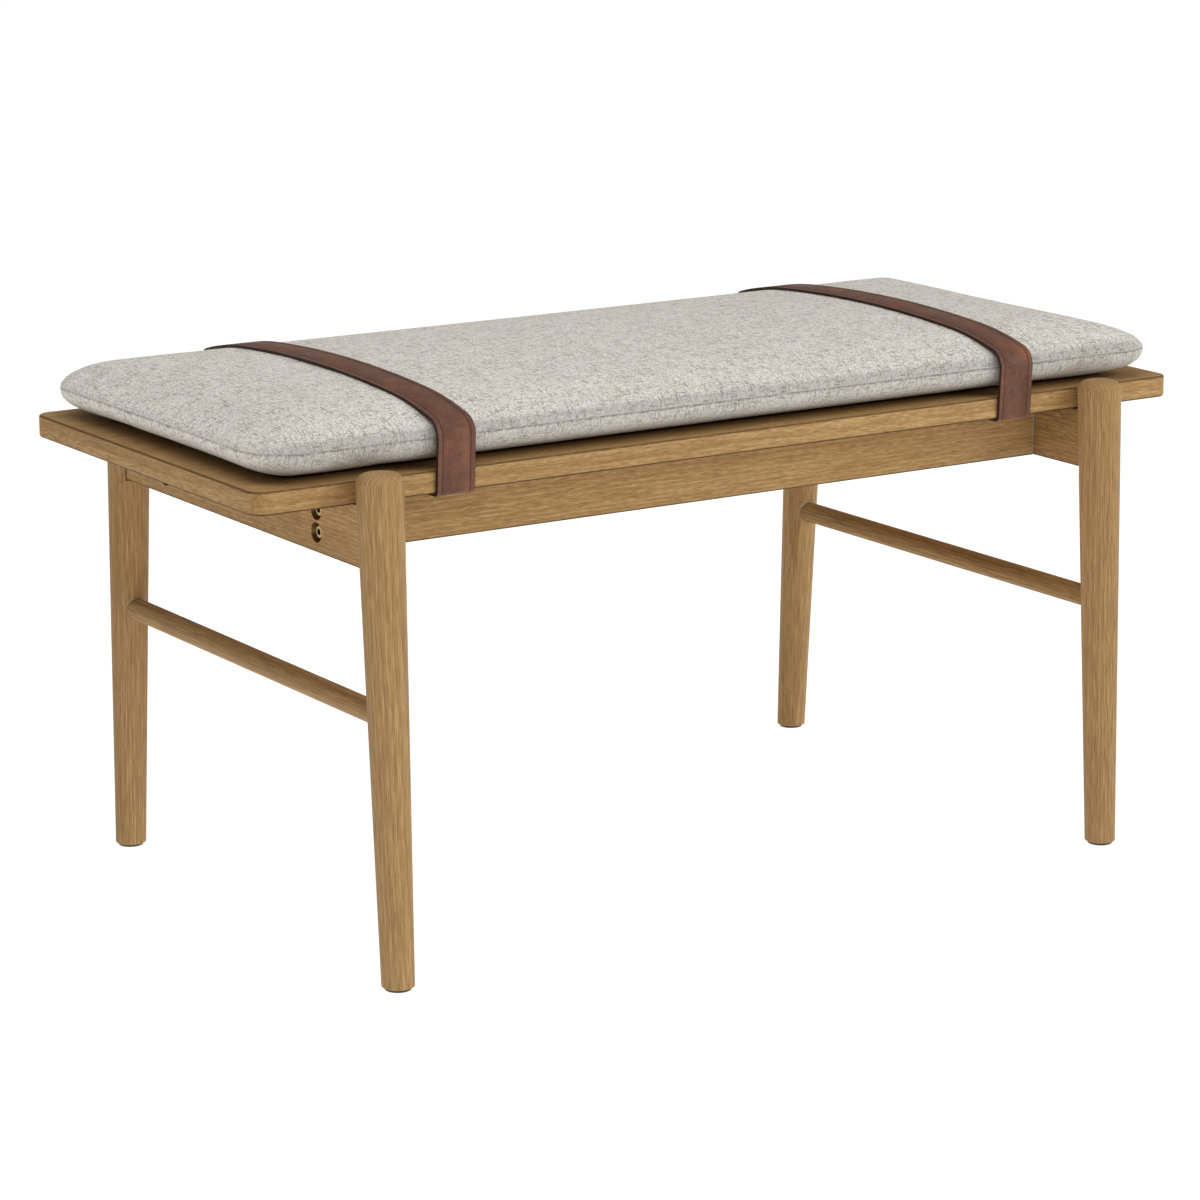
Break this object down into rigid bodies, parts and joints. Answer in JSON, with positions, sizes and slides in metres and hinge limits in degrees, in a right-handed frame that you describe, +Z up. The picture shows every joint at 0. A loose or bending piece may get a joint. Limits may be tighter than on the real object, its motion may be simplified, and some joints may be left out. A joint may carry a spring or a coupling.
{
  "type": "upholstered bench",
  "caption": "Low wooden bench with splayed turned legs, a flat seat board on bolted aprons, round stretchers and a padded cushion held down by leather straps.",
  "frame": {"origin": "on the floor, under the middle of the bench", "axes": "+X along the seat to the right of the view from the front, +Y from front to back, +Z up"},
  "size_m": [0.93, 0.4998, 0.4681],
  "materials": {
    "wood": "honey-brown stained oak with a matt lacquer",
    "glide_plastic": "moulded dark nylon",
    "bolt_brass": "yellow-passivated, dulled",
    "washer_bronze": "antique bronze plating",
    "zinc_steel": "zinc plated",
    "strap_leather": "chestnut vegetable-tanned leather, waxed, with burnished edges",
    "cover_fabric": "heathered woven upholstery cloth, pale grey with dark flecks",
    "foam": "soft polyurethane foam, hidden in the cover",
    "zip_nylon": "nylon coil and tape in the cloth's colour",
    "zip_metal": "grey enamelled zinc"
  },
  "bodies": {
    "root": {"seat_board": "wood", "leg_front_left": "wood", "leg_front_right": "wood", "leg_back_left": "wood", "leg_back_right": "wood", "side_apron_left": "wood", "side_apron_right": "wood", "long_apron_front": "wood", "long_apron_back": "wood", "stretcher_left": "wood", "stretcher_right": "wood", "foot_glide_front_left": "glide_plastic", "foot_glide_front_right": "glide_plastic", "foot_glide_back_left": "glide_plastic", "foot_glide_back_right": "glide_plastic", "frame_bolts": "bolt_brass", "frame_bolt_washers": "washer_bronze", "barrel_nuts": "zinc_steel", "board_screws": "zinc_steel", "strap_screws": "bolt_brass", "strap_washers": "washer_bronze", "strap_left": "strap_leather", "strap_right": "strap_leather", "cushion_cover": "cover_fabric", "cushion_foam": "foam", "zip_coil": "zip_nylon", "zip_slider": "zip_metal"}
  },
  "joints": []
}
